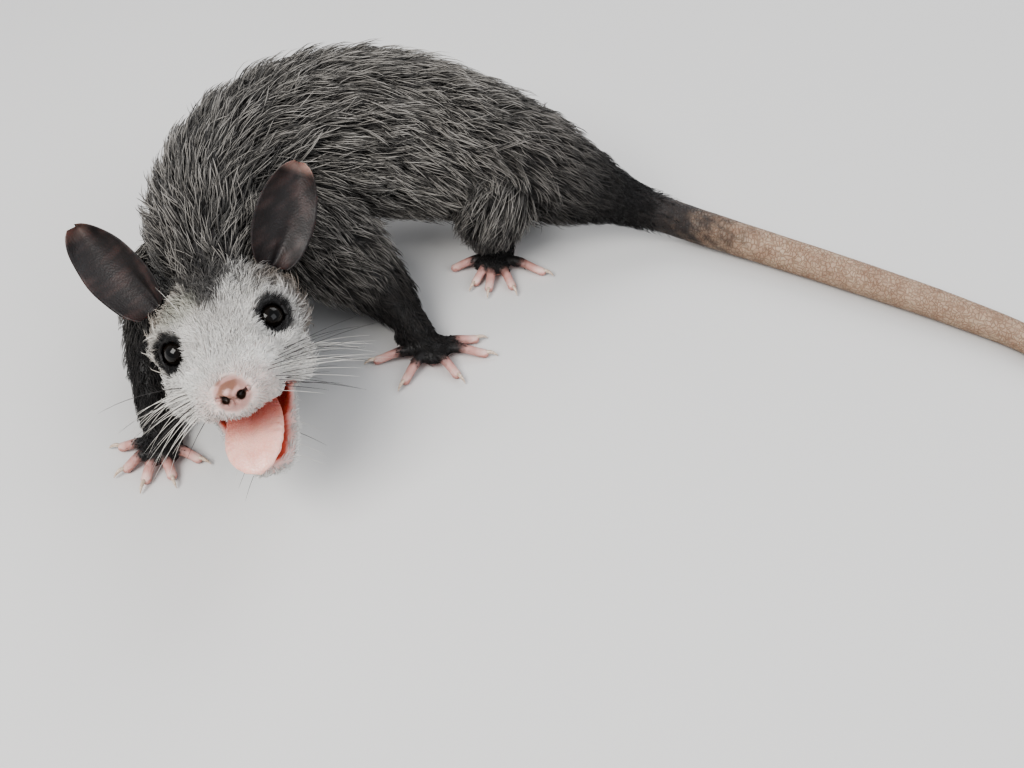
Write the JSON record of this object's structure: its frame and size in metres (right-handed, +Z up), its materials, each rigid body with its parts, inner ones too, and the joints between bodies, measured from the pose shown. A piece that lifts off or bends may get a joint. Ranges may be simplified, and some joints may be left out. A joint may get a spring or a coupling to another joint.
{
  "type": "opossum",
  "caption": "Still life-size figure of a crouching young opossum with its head turned back, mouth open, and its bare tail laid on the floor.",
  "frame": {"origin": "on the floor under the middle of the animal's outline", "axes": "+X from the shoulders along the back and tail, +Y away from the side that the head looks to, +Z up"},
  "size_m": [0.3832, 0.2294, 0.0936],
  "materials": {
    "fur_face": "short pale fur",
    "fur_body": "shaggy dark fur with long pale guard hairs",
    "paw_skin": "dark short fur with bare pink toes",
    "tail_skin": "fine scaly bare skin, dark at the root",
    "ear_skin": "thin dark bare skin with a paler rim",
    "mouth_skin": "moist pink skin",
    "eye": "glossy black"
  },
  "bodies": {
    "root": {"head": "fur_face", "jaw_lower": "fur_face", "neck": "fur_body", "trunk": "fur_body", "leg_front_left": "fur_body", "leg_front_right": "fur_body", "leg_hind_left": "fur_body", "leg_hind_right": "fur_body", "hand_front_left": "paw_skin", "hand_front_right": "paw_skin", "foot_hind_left": "paw_skin", "foot_hind_right": "paw_skin", "tail_base": "tail_skin", "tail_middle": "tail_skin", "tail_bend": "tail_skin", "tail_tip": "tail_skin", "ear_left": "ear_skin", "ear_right": "ear_skin", "nose": "mouth_skin", "tongue": "mouth_skin", "eye_left": "eye", "eye_right": "eye"}
  },
  "joints": []
}
